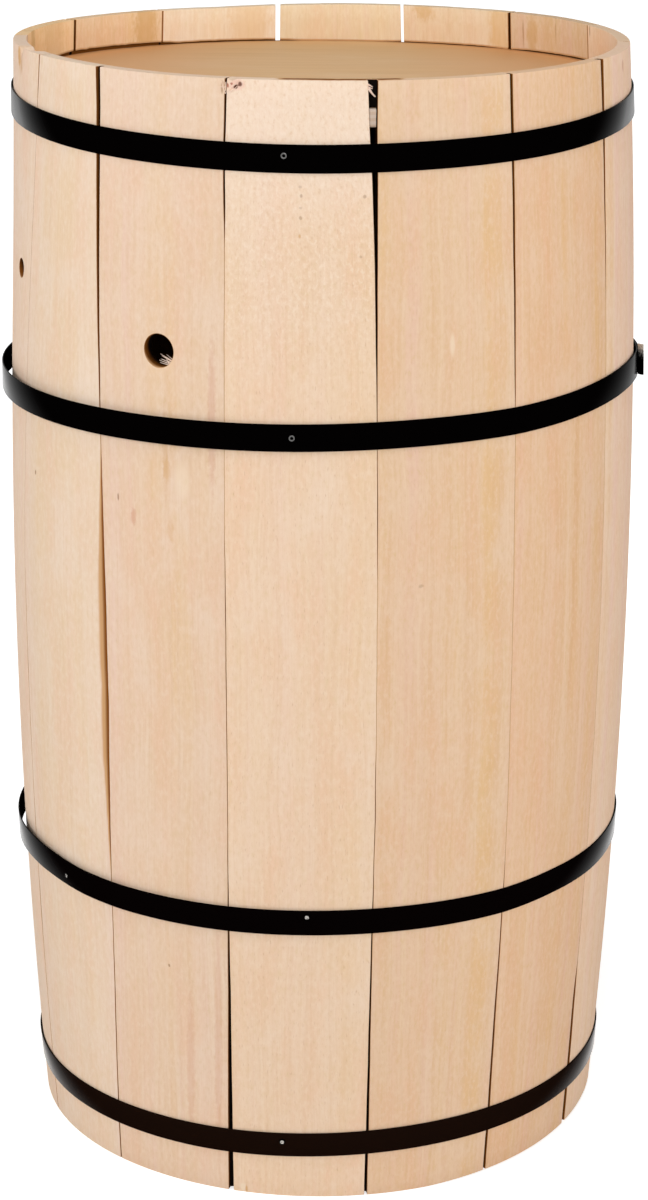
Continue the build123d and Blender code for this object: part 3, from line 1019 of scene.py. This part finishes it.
# Where each hoop sits, kept for its rivet and nails
hoop_fits = {}
for name, height, slack, contact, rise_back, rise_right, lap, lap_angle in hoops:
    seat = hoop_seat(height, slack, contact, rise_back, rise_right)
    inner = stave_radius(height) + slack + hoop_clearance
    low = stave_radius(height - hoop_width / 2) + slack + hoop_clearance
    high = stave_radius(height + hoop_width / 2) + slack + hoop_clearance
    flare = Matrix.Rotation(math.atan2(high - low, hoop_width), 4, "Y")
    risen = inner + hoop_thickness + lap_gap
    shift = (risen**2 - inner**2) / (2 * (inner - risen * math.cos(lap_rise_angle)))
    hoop_fits[name] = seat, inner, risen, flare, lap

    strip = bmesh.new()
    wear_layer = strip.verts.layers.float.new("wear")
    matt_layer = strip.verts.layers.float.new("matt")
    section = (
        (low, -hoop_width / 2), (low + hoop_thickness, -hoop_width / 2),
        (high + hoop_thickness, hoop_width / 2), (high, hoop_width / 2),
    )
    corners = [strip.verts.new((reach, 0, rise)) for reach, rise in section]
    for inner_corner in (corners[0], corners[3]):
        inner_corner[matt_layer] = 1.0
    start = corners + [strip.edges.new((corners[i - 1], corners[i])) for i in range(4)]
    ring_angle = 2 * math.pi - lap_rise_angle
    bmesh.ops.spin(strip, geom=start, cent=(0, 0, 0), axis=(0, 0, 1), angle=ring_angle, steps=hoop_steps)
    turn = lap_rise_angle - math.asin(shift * math.sin(lap_rise_angle) / (inner + shift))
    spun = bmesh.ops.spin(
        strip, geom=start, cent=(-shift, 0, 0), axis=(0, 0, -1), angle=turn, steps=lap_rise_steps
    )
    lap_rest = math.radians(lap_angle) - lap_rise_angle
    spun = bmesh.ops.spin(
        strip, geom=spun["geom_last"], cent=(0, 0, 0), axis=(0, 0, -1), angle=lap_rest, steps=lap_steps
    )
    if name == bent_hoop:
        straight = set(strip.verts)
        outside = Matrix.Rotation(-math.radians(lap_angle), 4, "Z") @ Vector((risen + bent_radius, 0, 0))
        spun = bmesh.ops.spin(
            strip, geom=spun["geom_last"], cent=outside, axis=(0, 0, 1), angle=bent_angle, steps=bent_steps
        )
        for vert in strip.verts:
            if vert not in straight and vert.co.z > 0:
                vert[wear_layer] = bent_wear
                vert.co.z += bent_rise
    for vert in spun["geom_last"]:
        if isinstance(vert, bmesh.types.BMVert):
            vert[matt_layer] = 1.0
    bmesh.ops.holes_fill(strip, edges=[edge for edge in strip.edges if edge.is_boundary])
    bmesh.ops.recalc_face_normals(strip, faces=strip.faces)
    arrises = [edge for edge in strip.edges if edge.calc_face_angle(0) > hoop_arris_angle]
    round_edges(strip, arrises, hoop_edge_round)
    bmesh.ops.transform(strip, matrix=facing(lap), verts=strip.verts)
    for vert in strip.verts:
        azimuth = math.degrees(math.atan2(vert.co.x, -vert.co.y))
        vert.co.z += hoop_wave * noise.noise((hoop_wave_rate * azimuth, height, 0))
        vert.co.z += stray(hoop_kinks.get(name, no_stray), azimuth)
        vert.co.xy *= 1 + lean(math.radians(azimuth), height + vert.co.z) / vert.co.xy.length
        if name == dipped_hoop:
            vert.co.z -= hoop_dip * fade(abs(azimuth), *hoop_dip_azimuths)
    bmesh.ops.transform(strip, matrix=seat, verts=strip.verts)
    add_piece(f"{name}_strip", strip, hoop_paints[name], "hoop_steel", name)

# Rivets and nails: soft steel pins with round heads, painted along with the hoops and worn at the top.
# A domed rivet holds each lap, and dished nails through the strip into the staves keep a hoop from slipping.
pin_steps = 24
rivet_angle = math.radians(22.5)
rivet_bare, rivet_dull, rivet_bare_rise = 0.6, 0.1, 0.0008
rivet_profile = (
    (0, 0.0009), (0.0008, 0.00085), (0.0016, 0.0007), (0.0023, 0.0004), (0.0026, 0.0),
    (0.0019, 0.0), (0.0019, -0.002), (0, -0.002),
)
nail_profile = (
    (0, 0.0004), (0.0007, 0.0005), (0.0013, 0.0007), (0.0018, 0.0007), (0.0022, 0.0005), (0.0023, 0.0),
    (0.001, 0.0), (0.001, -0.0065), (0, -0.008),
)

# Nails of each hoop: azimuth, how far they sit above the middle of the strip and how bare they are
hoop_nails = {
    "top_hoop": ((-6.8, 0.0019, 0.75),),
    "upper_bilge_hoop": ((-4.4, 0, 0.75),),
    "lower_bilge_hoop": ((-52.6, 0, 0.45), (-1.6, 0.0046, 0.52)),
    "bottom_hoop": ((-6.7, 0.0024, 0.55),),
}

# Radii between which a head is bare: the raised ring of most nails, and the middle of the chipped ones
chipped_nails = ("lower_bilge_hoop", "bottom_hoop")
chipped_ring, worn_ring = (0, 0.0015), (0.001, 0.002)
worn_nail_paint = black_paint("worn_nail_paint", (92, 91, 90))
chipped_nail_paint = black_paint("chipped_nail_paint", (190, 186, 180))


def turned_pin(bm, profile, plane, wear):
    """Spins the radii and rises of a nail's or rivet's outline, and stands it on a plane facing along X."""
    outline = [bm.verts.new((radius, 0, rise)) for radius, rise in profile]
    line = outline + [bm.edges.new(pair) for pair in zip(outline, outline[1:])]
    before = set(bm.verts) - set(outline)
    bmesh.ops.spin(
        bm, geom=line, cent=(0, 0, 0), axis=(0, 0, 1), angle=2 * math.pi, steps=pin_steps, use_merge=True
    )
    made = [vert for vert in bm.verts if vert not in before]
    for vert in made:
        vert[bm.verts.layers.float["wear"]] = wear(math.hypot(vert.co.x, vert.co.y), vert.co.z)
    bmesh.ops.transform(bm, matrix=plane @ Matrix.Rotation(math.pi / 2, 4, "Y"), verts=made)
    bmesh.ops.remove_doubles(bm, verts=made, dist=touching)
    bmesh.ops.recalc_face_normals(bm, faces=bm.faces)


for name, (seat, inner, risen, flare, lap) in hoop_fits.items():
    rivet = bmesh.new()
    rivet.verts.layers.float.new("wear")
    plane = seat @ facing(lap) @ Matrix.Rotation(-rivet_angle, 4, "Z")
    plane = plane @ Matrix.Translation((risen + hoop_thickness, 0, 0)) @ flare
    turned_pin(
        rivet, rivet_profile, plane, lambda reach, rise: rivet_bare if rise > rivet_bare_rise else rivet_dull
    )
    add_piece(f"{name}_rivet_domed", rivet, worn_nail_paint, "nail_steel", f"{name}_rivet")

    driven = bmesh.new()
    driven.verts.layers.float.new("wear")
    bare_from, bare_to = chipped_ring if name in chipped_nails else worn_ring
    for azimuth, above_middle, bareness in hoop_nails[name]:
        plane = seat @ facing(azimuth) @ Matrix.Translation((inner + hoop_thickness, 0, 0)) @ flare
        plane = plane @ Matrix.Translation((0, 0, above_middle))
        turned_pin(
            driven, nail_profile, plane, lambda reach, rise: bareness if bare_from <= reach < bare_to else 0
        )
    paint = chipped_nail_paint if name in chipped_nails else worn_nail_paint
    add_piece(f"{name}_nails_driven", driven, paint, "nail_steel", f"{name}_nails")

# Stage: a plain white floor and world, soft lamps in front, on both sides and above, and the camera.
# Floor and world are white to the camera, and dimmer as lights so that the pale wood keeps its colour.
floor_half_size = 12
floor_grey = (0.88, 0.88, 0.88, 1)
floor_shadow_level, floor_shadow_reach = 0.62, (0.25, 1.6)
ambient = 0.18


def seen_directly(start):
    """1 for rays of the camera, mirrored ones too, and 0 for light that falls on the barrel."""
    kinds = ("Camera", "Glossy", "Transmission")
    return sum(start.node("ShaderNodeLightPath", output=f"Is {kind} Ray") for kind in kinds).ramp(0, 1)


floor_bm = bmesh.new()
bmesh.ops.create_grid(floor_bm, x_segments=1, y_segments=1, size=floor_half_size)
floor_mesh = bpy.data.meshes.new("floor")
floor_bm.to_mesh(floor_mesh)
floor_bm.free()
floor = bpy.data.objects.new("floor", floor_mesh)
bpy.context.scene.collection.objects.link(floor)
floor_finish, floor_shader, floor_start = new_finish(
    "white_floor", Base_Color=floor_grey, Roughness=0.9, Specular_IOR_Level=0.0, Emission_Strength=1.0
)
floor_reach = floor_start.node("ShaderNodeTexCoord", output="Object").length()
floor_light = floor_shadow_level + (1 - floor_shadow_level) * floor_reach.ramp(*floor_shadow_reach)
feed(floor_shader, Emission_Color=seen_directly(floor_start) * floor_light)
floor_mesh.materials.append(floor_finish)

world = bpy.data.worlds.new("studio")
bpy.context.scene.world = world
world.use_nodes = True
backdrop = world.node_tree.nodes["Background"]
backdrop.inputs["Color"].default_value = (1, 1, 1, 1)
feed(backdrop, Strength=ambient + (1 - ambient) * seen_directly(Socket(world.node_tree)))

# Lamps: azimuth, height angle, distance, size and level, where 1 lights a facing surface to its own colour
lamp_aim = Vector((0, 0, 0.45))
for name, azimuth, elevation, distance, size, level in (
    ("key", -4, 19, 3.0, 0.7, 0.33),
    ("left", -75, 21, 2.6, 1.2, 0.34),
    ("right", 70, 21, 2.6, 1.2, 0.32),
    ("top", 0, 72, 2.6, 1.4, 0.26),
):
    lamp = bpy.data.lights.new(name, "AREA")
    lamp.size = size
    lamp.energy = level * (math.pi * distance) ** 2
    light = bpy.data.objects.new(name, lamp)
    reach = distance * math.cos(math.radians(elevation))
    rise = distance * math.sin(math.radians(elevation))
    offset = around(math.radians(azimuth), reach, rise)
    light.location = lamp_aim + offset
    light.rotation_mode = "QUATERNION"
    light.rotation_quaternion = (-offset).to_track_quat("-Z", "Y")
    bpy.context.scene.collection.objects.link(light)

camera_place = Vector((0.0021, -2.1956, 1.0730))
camera_pitch, camera_roll = math.radians(17.705), math.radians(0.42)
camera_data = bpy.data.cameras.new("camera")
camera_data.lens = 95.56
camera_data.sensor_width = 36
camera = bpy.data.objects.new("camera", camera_data)
camera.matrix_world = (
    Matrix.Translation(camera_place)
    @ Matrix.Rotation(math.pi / 2 - camera_pitch, 4, "X")
    @ Matrix.Rotation(camera_roll, 4, "Z")
)
bpy.context.scene.collection.objects.link(camera)
bpy.context.scene.camera = camera
bpy.context.scene.view_settings.view_transform = "Standard"
